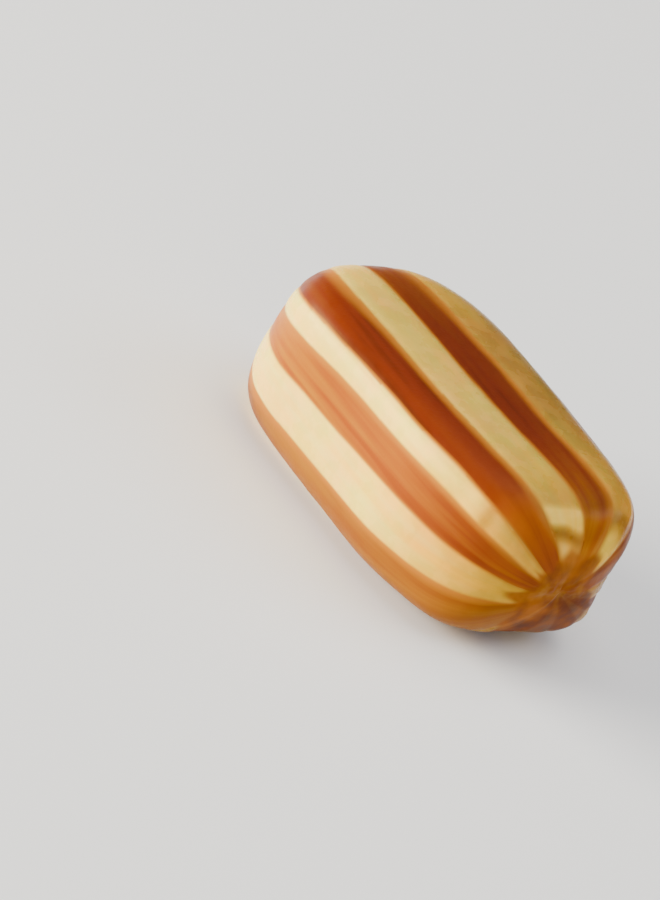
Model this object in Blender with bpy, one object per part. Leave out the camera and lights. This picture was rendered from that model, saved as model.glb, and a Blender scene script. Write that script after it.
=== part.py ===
"""Mint humbug: one solid piece of striped boiled sugar, a rounded square bar pinched off at both ends.

Units are metres. +X runs along the bar, +Z is up, and the sweet lies on a small flat under its middle. The origin
is the centre of its footprint, on the surface that it lies on.
"""

import math

import bmesh
import bpy
from mathutils import Vector, noise

# Overall size, before the flat is pressed into the underside.
LENGTH = 0.0280
WIDTH = 0.0148
HEIGHT = 0.0111
REST_FLAT_DEPTH = 0.00008

# Powers are those of superellipses: 2 is an ellipse, and a larger one is squarer. Narrowing is the share of the
# bar's width or height that is lost on the way to an end, and lean is how far an end face slopes from square.
# The two ends differ, because the bar was cut while it was hot.
MIDDLE_SECTION_POWER = 5.0
FRONT_END = {
    "section_power": 4.6,
    "plan_power": 3.6,
    "side_power": 12.0,
    "width_narrowing": 0.0,
    "height_narrowing": 0.0,
    "belly_narrowing": 0.14,
    "narrowing_power": 3.2,
    "lean": 0.0,
}
BACK_END = {
    "section_power": 3.6,
    "plan_power": 7.0,
    "side_power": 10.5,
    "width_narrowing": 0.33,
    "height_narrowing": 0.05,
    "belly_narrowing": 0.0,
    "narrowing_power": 6.0,
    "lean": 0.09,
}
END_DOME = 0.127
PINCH_RISE = 0.017

# Relief: a pit where the end was pinched off, creases that run into it, crumbs of sugar on the scar, and the
# gentle unevenness of the long sides.
PIT_DEPTH = 0.00030
PIT_RADIUS = 0.0011
CREASE_DEPTH = 0.00006
SCAR_HALF_WIDTH = 0.0034
SCAR_HALF_HEIGHT = 0.0013
CRUMB_HEIGHT = 0.00024
CRUMB_SIZE = 0.0016
WAVE_HEIGHT = 0.00010
WAVE_SIZE = 0.0070

# Where one stripe ends and the next begins, in degrees of turn about the bar, from the middle of one flank up
# over the top and round. The stripe that begins at the first edge is amber, the next is cream, and so on.
STRIPE_EDGES = (14, 39, 72, 95, 121, 139, 153, 177, 205, 227, 251, 274, 298, 317, 332, 352)

AMBER = (0.42, 0.13, 0.02)
CREAM = (0.80, 0.66, 0.42)
SUGAR_ROUGHNESS = 0.16

# Mesh fineness, round the bar and from end to end.
STEPS_AROUND = 80
STEPS_ALONG = 52


def superellipse(angle, power):
    """The point at this angle on a superellipse of radius 1."""
    across, up = math.cos(angle), math.sin(angle)
    reach = (abs(across) ** power + abs(up) ** power) ** (-1 / power)
    return across * reach, up * reach


def blend(start, finish, share):
    return start + (finish - start) * share


def bar_point(along, around):
    """A point of the smooth bar in half-lengths, and its spread: 0 at the pinch, near 1 past the end face's rim.

    along turns from the front pinch to the back one, and around turns about the bar from its +Y flank.
    """
    side, end = (1, FRONT_END) if along < math.pi / 2 else (-1, BACK_END)
    from_pinch = min(along, math.pi - along)
    plan_reach, plan_spread = superellipse(from_pinch, end["plan_power"])
    side_reach, side_spread = superellipse(from_pinch, end["side_power"])

    toward_end = min(math.cos(from_pinch) / max(math.sin(from_pinch), 1e-9), 1)
    section_power = blend(MIDDLE_SECTION_POWER, end["section_power"], toward_end**2)
    section_y, section_z = superellipse(around, section_power)
    flank = section_y**2 / (section_y**2 + section_z**2)
    reach = blend(side_reach, plan_reach, flank)
    spread = blend(side_spread, plan_spread, flank)

    narrowing = reach ** end["narrowing_power"]
    belly = end["belly_narrowing"] * min(section_z, 0) ** 2
    width_left = 1 - end["width_narrowing"] * narrowing
    height_left = 1 - (end["height_narrowing"] + belly) * narrowing
    y = WIDTH / LENGTH * section_y * plan_spread * width_left
    z = HEIGHT / LENGTH * section_z * side_spread * height_left + side * PINCH_RISE * (1 - spread)
    x = side * blend(reach, 1 - spread**2, END_DOME) + end["lean"] * z * reach**3
    return Vector((x, y, z)), spread


def pinch_relief(point, around, spread):
    """How far the end face is pushed in here, in metres: the pit and its creases, less the crumbs of the scar."""
    pinch_z = math.copysign(PINCH_RISE, point.x) * LENGTH / 2
    from_pinch = Vector((point.y, point.z - pinch_z))
    pit = PIT_DEPTH * math.exp(-((from_pinch.length / PIT_RADIUS) ** 2))
    on_face = spread * (1 - spread) * 4
    crease = CREASE_DEPTH * on_face * math.cos(around * len(STRIPE_EDGES) / 2)
    on_scar = math.exp(-((from_pinch.x / SCAR_HALF_WIDTH) ** 4) - (from_pinch.y / SCAR_HALF_HEIGHT) ** 2)
    crumb = CRUMB_HEIGHT * on_scar * noise.noise(point / CRUMB_SIZE)
    return pit + crease - crumb


def sugar_point(along, around):
    """A point of the real surface, in metres."""
    bar, spread = bar_point(along, around)
    point = bar * LENGTH / 2
    if spread < 1:
        point.x -= math.copysign(pinch_relief(point, around, spread), point.x)
    swell = 1 + WAVE_HEIGHT * noise.noise(point / WAVE_SIZE) / (HEIGHT / 2)
    point.y *= swell
    point.z *= swell
    point.z = max(point.z, REST_FLAT_DEPTH - HEIGHT / 2)
    return point


def stand_on_origin(shape):
    """Moves the shape so that the middle of its box is over the origin, and its lowest point is at z = 0."""
    corners = [[pick(vertex.co[axis] for vertex in shape.verts) for axis in range(3)] for pick in (min, max)]
    low, high = Vector(corners[0]), Vector(corners[1])
    middle = (low + high) / 2
    bmesh.ops.translate(shape, verts=shape.verts, vec=(-middle.x, -middle.y, -low.z))


def stripe_index(around):
    """Which stripe lies at this turn about the bar: 0 and every even one is cream."""
    turn = math.degrees(around) % 360
    return sum(turn >= edge for edge in STRIPE_EDGES) % len(STRIPE_EDGES)


def sugar_material(name, colour):
    material = bpy.data.materials.new(name)
    material.use_nodes = True
    finish = material.node_tree.nodes["Principled BSDF"]
    finish.inputs["Base Color"].default_value = (*colour, 1)
    finish.inputs["Roughness"].default_value = SUGAR_ROUGHNESS
    finish.inputs["Metallic"].default_value = 0
    material.diffuse_color = (*colour, 1)
    return material


def build_humbug(collection):
    """The whole sweet: a globe of rings about the bar's axis, its poles at the pinches, pushed out to the bar."""
    shape = bmesh.new()
    bmesh.ops.create_uvsphere(shape, u_segments=STEPS_AROUND, v_segments=STEPS_ALONG, radius=1)
    for face in shape.faces:
        middle = face.calc_center_median()
        face.material_index = stripe_index(math.atan2(middle.y, middle.x)) % 2
        face.smooth = True
    for vertex in shape.verts:
        along = math.acos(max(-1, min(1, vertex.co.z)))
        around = math.atan2(vertex.co.y, vertex.co.x)
        vertex.co = sugar_point(along, around)
    stand_on_origin(shape)

    mesh = bpy.data.meshes.new("humbug")
    shape.to_mesh(mesh)
    shape.free()
    mesh.materials.append(sugar_material("cream sugar", CREAM))
    mesh.materials.append(sugar_material("amber sugar", AMBER))
    humbug = bpy.data.objects.new("humbug", mesh)
    collection.objects.link(humbug)
    return humbug


def main():
    for leftover in list(bpy.data.objects):
        bpy.data.objects.remove(leftover, do_unlink=True)
    collection = bpy.data.collections.new("mint humbug")
    bpy.context.scene.collection.children.link(collection)
    build_humbug(collection)


main()
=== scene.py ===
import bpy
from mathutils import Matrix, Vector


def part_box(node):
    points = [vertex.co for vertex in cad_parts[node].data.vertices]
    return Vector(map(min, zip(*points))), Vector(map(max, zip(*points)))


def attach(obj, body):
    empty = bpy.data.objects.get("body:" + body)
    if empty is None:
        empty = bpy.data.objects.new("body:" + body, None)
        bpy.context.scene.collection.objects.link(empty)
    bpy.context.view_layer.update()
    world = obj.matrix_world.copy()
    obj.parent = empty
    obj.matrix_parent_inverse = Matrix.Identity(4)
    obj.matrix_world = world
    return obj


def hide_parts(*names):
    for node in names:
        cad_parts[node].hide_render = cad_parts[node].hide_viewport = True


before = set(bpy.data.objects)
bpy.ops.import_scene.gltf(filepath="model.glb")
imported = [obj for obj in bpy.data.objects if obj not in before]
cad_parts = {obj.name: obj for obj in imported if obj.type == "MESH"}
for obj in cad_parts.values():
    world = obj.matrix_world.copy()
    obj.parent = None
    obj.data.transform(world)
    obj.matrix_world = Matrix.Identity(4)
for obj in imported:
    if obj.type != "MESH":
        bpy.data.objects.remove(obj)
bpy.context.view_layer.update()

import math

import bpy
from mathutils import Quaternion, Vector, noise

low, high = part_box("humbug")
halfLength = (high.x - low.x) / 2
halfWidth = (high.y - low.y) / 2
halfHeight = (high.z - low.z) / 2
mm = 0.001


def smooth(edge0, edge1, value):
    share = min(max((value - edge0) / (edge1 - edge0), 0), 1)
    return share * share * (3 - 2 * share)


def bell(distance, width):
    return math.exp(-((distance / width) ** 2))


def wayTo(turn, height):
    # which way to look from the sweet, in degrees round it from the -Y side and degrees above the table
    turn, height = math.radians(turn), math.radians(height)
    return Vector((math.sin(turn) * math.cos(height), -math.cos(turn) * math.cos(height), math.sin(height)))


def onlySelect(piece):
    bpy.ops.object.select_all(action="DESELECT")
    piece.select_set(True)
    bpy.context.view_layer.objects.active = piece


cameraLook = {
    "aimAt": (-3.18 * mm, -4.65 * mm, 2.61 * mm),
    "turn": 41.97,              # degrees round the sweet
    "height": 26.54,            # degrees above the table
    "roll": 28.73,
    "distance": 453.1 * mm,
    "lens": 305.5,
    "sees": (0.01, 5),          # nearest and farthest, in metres
}


def addCamera(look):
    back = wayTo(look["turn"], look["height"])
    camera = bpy.data.objects.new("camera", bpy.data.cameras.new("camera"))
    bpy.context.scene.collection.objects.link(camera)
    camera.data.lens = look["lens"]
    camera.data.clip_start, camera.data.clip_end = look["sees"]
    camera.location = Vector(look["aimAt"]) + back * look["distance"]
    camera.rotation_mode = "QUATERNION"
    level = (-back).to_track_quat("-Z", "Y")
    camera.rotation_quaternion = level @ Quaternion((0, 0, 1), math.radians(look["roll"]))
    bpy.context.scene.camera = camera


addCamera(cameraLook)
print("camera is up")


# The sugar bar itself, with its front end at +X. Below, along runs from -1 at the back end to 1 at the
# front end, and reach is the distance from a line that runs through the pinch, along the bar.
sugarBar = {
    # A row for each stripe, the first amber and the next cream. It says where the stripe begins, in degrees
    # of turn from the +Y flank up over the top, at the back end, middle, front end and front pinch; how
    # pale and how warm it is, at the back end, middle and front end; and how far from the pinch it browns.
    "stripes": (
        ((17, 14, 8, 8), (0.20, 0.12, 0.35), (0.0, 0.0, 0.4), 1.8 * mm),
        ((38, 47, 50, 46.5), (0.50, 0.06, 0.45), (0.2, 0.2, 0.7), 3.0 * mm),
        ((72.5, 71, 68, 66), (0.40, 0.12, 0.45), (0.6, 0.0, 0.5), 2.4 * mm),
        ((99, 96, 89, 85.5), (0.66, 0.55, 0.40), (0.0, 0.1, 0.6), 3.0 * mm),
        ((121.2, 119.8, 114, 110.5), (0.20, 0.10, 0.22), (0.5, -0.3, -0.4), 1.7 * mm),
        ((144.4, 139.6, 135.6, 135.6), (0.95, 1.00, 0.60), (0.0, 0.3, 0.9), 2.9 * mm),
        ((160.5, 152.2, 150, 151.8), (0.80, 0.68, 0.36), (0.4, 0.3, 0.1), 1.6 * mm),
        ((182.8, 178, 175, 179), (1.00, 0.95, 0.55), (0.0, 0.3, 1.0), 3.5 * mm),
        ((209.5, 206.6, 203.8, 208), (0.30, 0.62, 0.60), (1.0, 1.0, 0.9), 3.0 * mm),
        # the rows under the bar are much darker at the front end: partly browned sugar, partly painted
        # shade under the near end
        ((232, 232, 242, 242), (0.80, 0.80, 0.20), (0.3, 0.3, 0.8), 5.0 * mm),
        ((254, 251, 256, 256), (0.30, 0.15, 0.16), (0.3, 0.3, 0.0), 5.0 * mm),
        ((277, 274, 274, 274), (0.80, 0.80, 0.18), (0.3, 0.3, 0.8), 5.0 * mm),
        ((301, 298, 295, 295), (0.30, 0.12, 0.14), (0.3, 0.3, 0.0), 4.8 * mm),
        ((320, 317, 314, 314), (0.80, 0.75, 0.18), (0.2, 0.2, 0.8), 4.4 * mm),
        ((335, 332, 329, 329), (0.35, 0.20, 0.14), (0.3, 0.3, 0.0), 3.8 * mm),
        ((355, 352, 344, 344), (0.75, 0.65, 0.15), (0.2, 0.2, 0.9), 3.0 * mm),
    ),
    # painted highlights and painted shade where a stripe turns over the ridge into the front face, added as
    # paleness: row, along, width and how much paler
    "paintedRidgeLight": (
        (0, 0.955, 0.020, 0.25),
        (1, 0.900, 0.030, -0.45),
        (1, 0.950, 0.027, 0.45),
        (2, 0.895, 0.035, 0.30),
        (2, 0.965, 0.030, 0.50),
        (3, 0.888, 0.034, 1.00),
        (3, 0.938, 0.020, -0.55),
        (3, 0.964, 0.018, 0.45),
        (4, 0.900, 0.120, 0.55),
        (5, 0.700, 0.050, 0.20),
        (5, 0.790, 0.026, -0.30),
        (6, 0.940, 0.060, 0.28),
    ),
    "ridgeLightStray": 0.025,         # how far a painted highlight or shade strays along the bar, and how often
    "ridgeLightStrays": 3.5,
    # the form that the stripes follow
    "backTaper": 0.33,          # share of its width that the back end loses
    "backTaperPower": 6,        # the higher, the nearer the end it starts
    "pinchRise": 0.017,         # how far off centre the pinches sit, as a share of half the length
    "curveEnds": 0.9,           # along, where a stripe's edge has reached its place at an end
    "faceTurn": (2.8 * mm, 5.0 * mm),   # reach, between which the edge turns towards the pinch
    "fadeFrom": (0.2, 0.95),    # along, between which a stripe takes on an end's paleness and warmth
    "stray": 0.8,               # degrees that a stripe's edge strays, and how often
    "strays": 2.2,
    # the fine mesh
    "weld": 0.001 * mm,         # points closer than this become one
    "flatEnough": 1.2,          # radians between two triangles that may make one square
    "easeFrom": 0.8,            # the pinches are eased past this along, and this near the bar's axis
    "easeReach": 4.5 * mm,
    "easeStrength": 0.5,
    "easeRounds": 10,
    "finer": 2,                 # times that each square is cut in four
    # relief
    "skin": 0.06 * mm,          # everything is carved this far into the solid
    "restHeight": 0.35 * mm,    # and less and less below this height, so that the flat stays flat
    "creamSwell": 0.03 * mm,
    "creamSlope": (-0.2 * mm, 0.5 * mm),    # across a stripe's edge
    "seam": 0.02 * mm,
    "seamWidth": 0.25 * mm,
    "pleat": 0.03 * mm,         # how much deeper the seams are on the end faces
    "pleatFrom": (0.75, 0.97),  # along
    "plainPinch": (1.0 * mm, 3.2 * mm),     # reach, within which the seams die out
    "wave": 0.05 * mm,
    "waveSize": 4.5 * mm,
    "ripple": 0.012 * mm,
    "rippleSize": 1.2 * mm,
    "crumb": 0.07 * mm,
    "crumbSize": 0.9 * mm,
    "crumbGrain": (0.8, 2.0, 3),    # roughness, step between sizes, number of sizes
    "scarFrom": (0.84, 0.96),   # along
    "scarWide": 2.3 * mm,
    "scarHigh": 0.8 * mm,
    # the golden strip inside an amber stripe
    "goldWide": 0.55 * mm,      # at the stripe's thin edge
    "goldNarrow": 0.22 * mm,    # and at its thick edge
    "goldBack": 2.4,            # how much wider the thin edge's is at the back end
    "goldPinch": 1.5 * mm,      # reach, where it has narrowed to nothing
    # where the stripes brown and run together
    "browning": 0.5 * mm,       # over what distance a stripe browns
    "backBrown": 0.65,          # how far the browning reaches at the back end, against the front
    "brownFrom": (0.75, 0.92),  # along
    "brownStray": 0.2,          # share of its reach that it strays, and how often
    "brownStrays": 3.1,
    "shareWidth": 0.8 * mm,     # how far from an edge two stripes share their browning, half and half at it
}


def turnAt(point, bar):
    # degrees about the bar, with the section stretched back to a square so that corners stay at 45
    taper = bar["backTaper"] * max(-point.x / halfLength, 0) ** bar["backTaperPower"]
    across = point.y / (halfWidth * (1 - taper))
    up = (point.z - halfHeight) / halfHeight
    return math.degrees(math.atan2(up, across)) % 360


def turnBetween(first, second):
    return (second - first + 180) % 360 - 180


def spokeAt(turn, along):
    return Vector((math.cos(math.radians(turn)), math.sin(math.radians(turn)), along))


def bendThrough(values, along, reach, bar):
    # one even curve through the first three values, which turns to the last one on the front face
    back, middle, front, pinch = values
    share = min(max(along / bar["curveEnds"], -1), 1)
    start = middle + (front - back) / 2 * share + ((front + back) / 2 - middle) * share**2
    return start + (pinch - front) * (1 - smooth(*bar["faceTurn"], reach)) * (along > 0)


def fadeThrough(values, along, bar):
    back, middle, front = values
    toBack, toFront = smooth(*bar["fadeFrom"], -along), smooth(*bar["fadeFrom"], along)
    return middle + (back - middle) * toBack + (front - middle) * toFront


def stripeAt(turn, along, reach, bar):
    # which stripe, which one is across its near edge, how far off that edge is in metres (positive in
    # cream), and how wide a golden strip the edge has
    starts = [bendThrough(row[0], along, reach, bar) for row in bar["stripes"]]
    which = (sum(turn >= start for start in starts) - 1) % len(starts)
    behind = abs(turnBetween(starts[which], turn))
    ahead = abs(turnBetween(starts[(which + 1) % len(starts)], turn))
    beside = (which + (1 if ahead < behind else -1)) % len(starts)
    inside = reach * math.sin(math.radians(min(behind, ahead, 90)))
    isCream = which % 2 == 1
    gold = bar["goldNarrow"]
    if (behind < ahead) != isCream:     # an amber stripe is thin at its start
        gold = bar["goldWide"] * (1 + (bar["goldBack"] - 1) * smooth(0, 1, -along))
    gold *= smooth(bar["goldPinch"], halfHeight, reach)
    return which, beside, inside if isCream else -inside, gold


def makeSugar(bar):
    # a fine copy of the solid, welded and smoothed
    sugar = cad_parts["humbug"].copy()
    sugar.data = sugar.data.copy()
    for key in list(sugar.keys()):
        del sugar[key]
    sugar.parent = None
    sugar.name = sugar.data.name = "humbugSugar"
    bpy.context.scene.collection.objects.link(sugar)
    onlySelect(sugar)
    bpy.ops.mesh.customdata_custom_splitnormals_clear()
    bpy.ops.object.mode_set(mode="EDIT")
    bpy.ops.mesh.select_all(action="SELECT")
    bpy.ops.mesh.remove_doubles(threshold=bar["weld"])
    bpy.ops.mesh.tris_convert_to_quads(face_threshold=bar["flatEnough"], shape_threshold=bar["flatEnough"])
    bpy.ops.mesh.select_all(action="DESELECT")
    bpy.ops.object.mode_set(mode="OBJECT")
    for vertex in sugar.data.vertices:      # the pinches are eased before they are carved finer
        fromAxis = Vector((vertex.co.y, vertex.co.z - halfHeight)).length
        vertex.select = abs(vertex.co.x) > bar["easeFrom"] * halfLength and fromAxis < bar["easeReach"]
    bpy.ops.object.mode_set(mode="EDIT")
    bpy.ops.mesh.vertices_smooth(factor=bar["easeStrength"], repeat=bar["easeRounds"])
    bpy.ops.object.mode_set(mode="OBJECT")
    finer = sugar.modifiers.new("finer", "SUBSURF")
    finer.levels = finer.render_levels = bar["finer"]
    bpy.ops.object.modifier_apply(modifier="finer")
    bpy.ops.object.shade_smooth()
    print("sugar bar has", len(sugar.data.vertices), "points")
    return sugar


def carveSugar(sugar, bar):
    # relief goes along the normals, and what the material needs is left on the points
    mesh = sugar.data
    for name in ("cream", "gold", "pale", "warm", "melt", "scar"):
        mesh.attributes.new(name, "FLOAT", "POINT")
    mesh.attributes.new("strand", "FLOAT_VECTOR", "POINT")
    layers = mesh.attributes
    pinchRise = bar["pinchRise"] * halfLength
    normals = [vertex.normal.copy() for vertex in mesh.vertices]
    for vertex, normal in zip(mesh.vertices, normals):
        point = vertex.co.copy()
        along = point.x / halfLength
        turn = turnAt(point, bar)
        spoke = spokeAt(turn, along)
        turn = (turn + bar["stray"] * noise.noise(spoke * bar["strays"])) % 360
        fromPinch = Vector((point.y, point.z - halfHeight - math.copysign(pinchRise, along)))
        reach = fromPinch.length
        which, beside, inside, gold = stripeAt(turn, along, reach, bar)
        paleness, warmth, browned = bar["stripes"][which][1:]
        besidePaleness, _, besideBrowned = bar["stripes"][beside][1:]

        # where the sugar is scarred, and where it has browned
        scar = math.exp(-((fromPinch.x / bar["scarWide"]) ** 4) - (fromPinch.y / bar["scarHigh"]) ** 2)
        scar *= smooth(*bar["scarFrom"], abs(along))
        shared = 0.5 * smooth(-bar["shareWidth"], 0, -abs(inside))
        browned += (besideBrowned - browned) * shared
        if along < 0:
            browned *= bar["backBrown"]
        browned *= 1 + bar["brownStray"] * noise.noise(spoke * bar["brownStrays"])
        melt = smooth(-bar["browning"], bar["browning"], browned - reach)
        melt *= smooth(*bar["brownFrom"], abs(along))

        seam = bar["seam"] + bar["pleat"] * smooth(*bar["pleatFrom"], abs(along))
        lift = bar["creamSwell"] * smooth(*bar["creamSlope"], inside)
        lift -= seam * bell(inside, bar["seamWidth"])
        lift *= (1 - melt) * smooth(*bar["plainPinch"], reach)
        lift += bar["wave"] * noise.noise(point / bar["waveSize"])
        lift += bar["ripple"] * noise.noise(point / bar["rippleSize"])
        lift += bar["crumb"] * scar * noise.fractal(point / bar["crumbSize"], *bar["crumbGrain"])
        onTable = 1 - smooth(0.0, bar["restHeight"], point.z)
        vertex.co += normal * (lift - bar["skin"]) * (1 - onTable)

        pale = fadeThrough(paleness, along, bar)
        pale += (fadeThrough(besidePaleness, along, bar) - pale) * shared * melt
        # painted highlights and painted shade along the front ridge, added to the stripe's paleness
        for row, at, wide, paler in bar["paintedRidgeLight"]:
            if row == which:
                ridgeOffset = along - at + bar["ridgeLightStray"] * noise.noise(spoke * bar["ridgeLightStrays"])
                pale += paler * bell(ridgeOffset, wide)
        found = {
            "cream": inside / mm, "gold": gold / mm, "pale": pale,
            "warm": fadeThrough(warmth, along, bar), "melt": melt, "scar": scar,
        }
        for name, value in found.items():
            layers[name].data[vertex.index].value = value
        layers["strand"].data[vertex.index].vector = spokeAt(turn, along)
    print("carved the stripes, pleats and scars")


sugarLook = {
    # colours, from the deepest to the palest
    "ambers": (
        (0.00, (0.045, 0.006, 0.0006, 1)),
        (0.10, (0.112, 0.014, 0.0040, 1)),
        (0.35, (0.155, 0.025, 0.0040, 1)),
        (0.65, (0.260, 0.053, 0.0040, 1)),
        (1.00, (0.370, 0.089, 0.0025, 1)),
    ),
    "creams": (
        (0.00, (0.268, 0.143, 0.022, 1)),
        (0.40, (0.470, 0.290, 0.040, 1)),
        (1.00, (0.830, 0.605, 0.120, 1)),
    ),
    "melts": (
        (0.15, (0.060, 0.009, 0.001, 1)),
        (0.32, (0.120, 0.024, 0.001, 1)),
        (0.52, (0.205, 0.052, 0.002, 1)),
        (0.75, (0.310, 0.088, 0.005, 1)),
    ),
    "crumbs": (
        (0.42, (0.205, 0.052, 0.002, 1)),
        (0.62, (0.268, 0.143, 0.022, 1)),
    ),
    "blushes": (                # what the cream is multiplied by
        (0.35, (0.92, 1.00, 0.86, 1)),
        (0.65, (1.00, 0.91, 1.00, 1)),
    ),
    "goldEdge": (0.34, 0.112, 0.008, 1),
    "warmAmber": (1.0, 1.7, 1.0, 1),    # what warmth does to the two sugars
    "warmCream": (1.0, 0.74, 0.25, 1),
    # the stripes' edges, in mm off the true edge, positive in cream
    "waver": 0.05,
    "waverScale": (3, 3, 2.4),
    "goldEnd": 0.02,
    "creamFrom": (-0.08, 0.24),
    # streaks that run along the stripes, and clouds that don't
    "streakScale": (9, 9, 1.3),
    "amberStreaks": (0.05, 0.17),       # how strong the streaks are where the sugar is deepest and palest
    "creamStreaks": 0.06,
    "warmStreaks": 0.38,
    "cloudScale": 850.0,
    "blushScale": 430.0,
    "mottleDepth": 0.05,
    # round the pinches
    "meltPale": (0.0, 0.4),             # a stripe's paleness, and how far that shifts its melt
    "meltShift": (-0.28, 0.08),
    "meltCover": 0.92,
    "scarFrom": (0.2, 0.9),
    "scarCover": 0.45,
    # finish
    "amberRough": 0.38,
    "creamRough": 0.28,
    "pinchRough": 0.15,                 # how much rougher the scars and the melt are
    "pinchFrom": (0.1, 1.0),            # how strong they are, from none of that to all of it
    "cloudRough": 0.05,
    "pits": 0.015 * mm,
    "pitScale": 5200.0,
    "pitStrength": 0.5,
    "glow": 0.3,                        # share of the light that goes into the sugar
    "glowReach": 0.8 * mm,
    "glowColours": (1.0, 0.40, 0.15),
    "shine": 0.14,
    "shineTint": (1.0, 0.60, 0.10, 1),
}


def addNode(tree, kind, place, inputs=None, **settings):
    node = tree.nodes.new("ShaderNode" + kind)
    node.location = place
    for name, value in settings.items():
        setattr(node, name, value)
    for name, value in (inputs or {}).items():
        if isinstance(value, bpy.types.NodeSocket):
            tree.links.new(value, node.inputs[name])
        else:
            node.inputs[name].default_value = value
    return node


def addRamp(tree, amount, stops, place):
    ramp = addNode(tree, "ValToRGB", place, {"Fac": amount})
    elements = ramp.color_ramp.elements
    while len(elements) < len(stops):
        elements.new(0.5)
    for element, (position, colour) in zip(elements, stops):
        element.position = position
        element.color = colour
    return ramp.outputs["Color"]


def makeSugarMaterial(look):
    material = bpy.data.materials.new("stripedSugar")
    material.use_nodes = True
    tree = material.node_tree
    finish = tree.nodes["Principled BSDF"]
    finish.location = (1400, 0)
    tree.nodes["Material Output"].location = (1700, 0)

    def read(name, place):
        return addNode(tree, "Attribute", place, attribute_name=name).outputs["Fac"]

    def add(first, second, place, clamp=False):
        ends = {0: first, 1: second}
        return addNode(tree, "Math", place, ends, operation="ADD", use_clamp=clamp).outputs[0]

    def times(first, second, place):
        return addNode(tree, "Math", place, {0: first, 1: second}, operation="MULTIPLY").outputs[0]

    def spread(amount, fromEnds, toEnds, place, curve="SMOOTHSTEP"):
        ends = {
            "Value": amount, "From Min": fromEnds[0], "From Max": fromEnds[1],
            "To Min": toEnds[0], "To Max": toEnds[1],
        }
        return addNode(tree, "MapRange", place, ends, interpolation_type=curve).outputs["Result"]

    def mix(amount, first, second, place, blend="MIX"):
        ends = {0: amount, 6: first, 7: second}
        return addNode(tree, "Mix", place, ends, data_type="RGBA", blend_type=blend).outputs[2]

    def grain(vector, scale, detail, place):
        inputs = {"Vector": vector, "Scale": scale, "Detail": detail}
        return addNode(tree, "TexNoise", place, inputs).outputs["Fac"]

    def stretch(vector, scale, place):
        return addNode(tree, "Mapping", place, {"Vector": vector, "Scale": scale}).outputs["Vector"]

    grainEnds = (0.3, 0.7)      # the noise seldom goes past these
    whole = (0.0, 1.0)

    # the streaks follow the stripes into the pinches
    strand = addNode(tree, "Attribute", (-2000, -500), attribute_name="strand").outputs["Vector"]
    streaks = grain(stretch(strand, look["streakScale"], (-1800, -500)), 1.0, 2.0, (-1600, -500))
    bends = grain(stretch(strand, look["waverScale"], (-1800, 700)), 1.0, 1.0, (-1600, 700))
    here = addNode(tree, "TexCoord", (-2000, -900)).outputs["Object"]
    clouds = grain(here, look["cloudScale"], 2.0, (-1600, -800))
    blush = grain(here, look["blushScale"], 2.0, (-1600, -1000))
    specks = grain(here, look["pitScale"], 2.0, (-1600, -1200))

    cream, gold = read("cream", (-2000, 400)), read("gold", (-2000, 200))
    pale, warm = read("pale", (-2000, 0)), read("warm", (-2000, -1400))
    melt, scar = read("melt", (-2000, -150)), read("scar", (-2000, -300))

    # stripes, with edges that waver a little and a golden strip inside the amber ones
    waver = spread(bends, grainEnds, (-look["waver"], look["waver"]), (-1300, 700))
    edge = add(cream, waver, (-1100, 600))
    goldStart = spread(gold, whole, (0.0, -1.0), (-1300, 400), "LINEAR")
    toGold = spread(edge, (goldStart, look["goldEnd"]), whole, (-900, 500))
    toCream = spread(edge, look["creamFrom"], whole, (-900, 250))

    # the two sugars, streaked and mottled
    strands = spread(streaks, grainEnds, (-1.0, 1.0), (-1300, -200), "LINEAR")
    strandDepth = spread(pale, whole, look["amberStreaks"], (-1300, 0), "LINEAR")
    warmer = add(warm, times(strands, look["warmStreaks"], (-1100, -1400)), (-900, -1400), True)
    mottled = spread(clouds, grainEnds, (-look["mottleDepth"], look["mottleDepth"]), (-1300, -600))
    amberTone = add(pale, times(strands, strandDepth, (-1100, 0)), (-1100, -100), True)
    amber = addRamp(tree, amberTone, look["ambers"], (-800, 0))
    amber = mix(warmer, amber, look["warmAmber"], (-650, 100), "MULTIPLY")
    amber = mix(toGold, amber, look["goldEdge"], (-500, 100))
    creamTone = add(pale, times(strands, look["creamStreaks"], (-1100, -300)), (-950, -300))
    creamTone = add(creamTone, mottled, (-950, -400), True)
    creamy = addRamp(tree, creamTone, look["creams"], (-800, -300))
    creamy = mix(1.0, creamy, addRamp(tree, blush, look["blushes"], (-800, -600)), (-650, -400), "MULTIPLY")
    creamy = mix(warmer, creamy, look["warmCream"], (-500, -400), "MULTIPLY")
    striped = mix(toCream, amber, creamy, (-250, 0))

    # round the pinches the stripes run together and brown
    merged = add(clouds, spread(pale, look["meltPale"], look["meltShift"], (-1100, -1200)), (-900, -1100))
    molten = addRamp(tree, merged, look["melts"], (-500, -800))
    striped = mix(spread(melt, whole, (0.0, look["meltCover"]), (-250, -400)), striped, molten, (50, 0))
    crumbs = addRamp(tree, clouds, look["crumbs"], (-250, -900))
    scarred = spread(scar, look["scarFrom"], (0.0, look["scarCover"]), (50, -400))
    striped = mix(scarred, striped, crumbs, (300, 0))
    tree.links.new(striped, finish.inputs["Base Color"])

    rough = spread(toCream, whole, (look["amberRough"], look["creamRough"]), (300, -300))
    pinched = spread(add(scar, melt, (50, -600)), look["pinchFrom"], (0.0, look["pinchRough"]), (300, -550))
    clouded = spread(clouds, grainEnds, (-look["cloudRough"], look["cloudRough"]), (550, -550))
    rough = add(add(rough, pinched, (550, -300)), clouded, (800, -300))
    tree.links.new(rough, finish.inputs["Roughness"])
    pitted = {"Height": specks, "Distance": look["pits"], "Strength": look["pitStrength"]}
    tree.links.new(addNode(tree, "Bump", (900, -600), pitted).outputs["Normal"], finish.inputs["Normal"])

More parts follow.
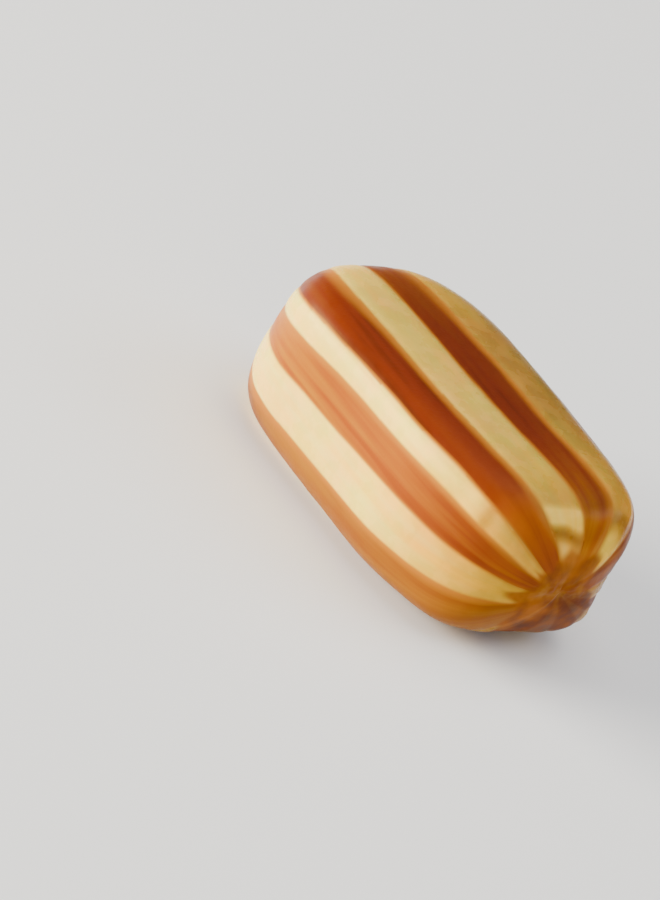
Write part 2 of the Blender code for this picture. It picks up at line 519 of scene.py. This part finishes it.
    finish.inputs["Subsurface Weight"].default_value = look["glow"]
    finish.inputs["Subsurface Radius"].default_value = look["glowColours"]
    finish.inputs["Subsurface Scale"].default_value = look["glowReach"]
    finish.inputs["Specular IOR Level"].default_value = look["shine"]
    finish.inputs["Specular Tint"].default_value = look["shineTint"]
    return material


sugar = makeSugar(sugarBar)
carveSugar(sugar, sugarBar)
sugar.data.materials.clear()
sugar.data.materials.append(makeSugarMaterial(sugarLook))
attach(sugar, "root")
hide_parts("humbug")


# the table and the light
studio = {
    "tableRadius": 0.9,
    "tableSides": 96,
    "tableColour": (0.86, 0.86, 0.87, 1),
    "tableRough": 0.7,
    "skyColour": (1, 1, 1, 1),
    "skyStrength": 0.12,
    # name, degrees round the sweet and above the table, distance, width, height, watts, colour
    "softboxes": (
        ("keySoftbox", -38, 12, 0.42, 0.36, 0.16, 8.5, (1.00, 0.95, 0.82)),
        ("topSoftbox", 168, 80, 0.50, 0.60, 0.60, 2.8, (1, 1, 1)),
        ("rimSoftbox", 150, 38, 0.45, 0.30, 0.14, 0.7, (1, 1, 1)),
        ("fillSoftbox", 50, 12, 0.50, 0.40, 0.20, 0.9, (1, 1, 1)),
    ),
}


def addTable(look):
    bpy.ops.mesh.primitive_circle_add(
        vertices=look["tableSides"], radius=look["tableRadius"], fill_type="NGON")
    table = bpy.context.active_object
    table.name = "table"
    material = bpy.data.materials.new("paleTable")
    material.use_nodes = True
    finish = material.node_tree.nodes["Principled BSDF"]
    finish.inputs["Base Color"].default_value = look["tableColour"]
    finish.inputs["Roughness"].default_value = look["tableRough"]
    table.data.materials.append(material)


def addSky(look):
    sky = bpy.data.worlds.new("studio")
    sky.use_nodes = True
    background = sky.node_tree.nodes["Background"]
    background.inputs["Color"].default_value = look["skyColour"]
    background.inputs["Strength"].default_value = look["skyStrength"]
    bpy.context.scene.world = sky


def addSoftbox(name, turn, height, distance, wide, tall, watts, colour):
    away = wayTo(turn, height)
    lamp = bpy.data.lights.new(name, "AREA")
    lamp.shape = "RECTANGLE"
    lamp.size, lamp.size_y, lamp.energy = wide, tall, watts
    lamp.color = colour
    softbox = bpy.data.objects.new(name, lamp)
    bpy.context.scene.collection.objects.link(softbox)
    softbox.location = away * distance
    softbox.rotation_mode = "QUATERNION"
    softbox.rotation_quaternion = (-away).to_track_quat("-Z", "Y")


addTable(studio)
addSky(studio)
for row in studio["softboxes"]:
    addSoftbox(*row)
print("studio is lit")
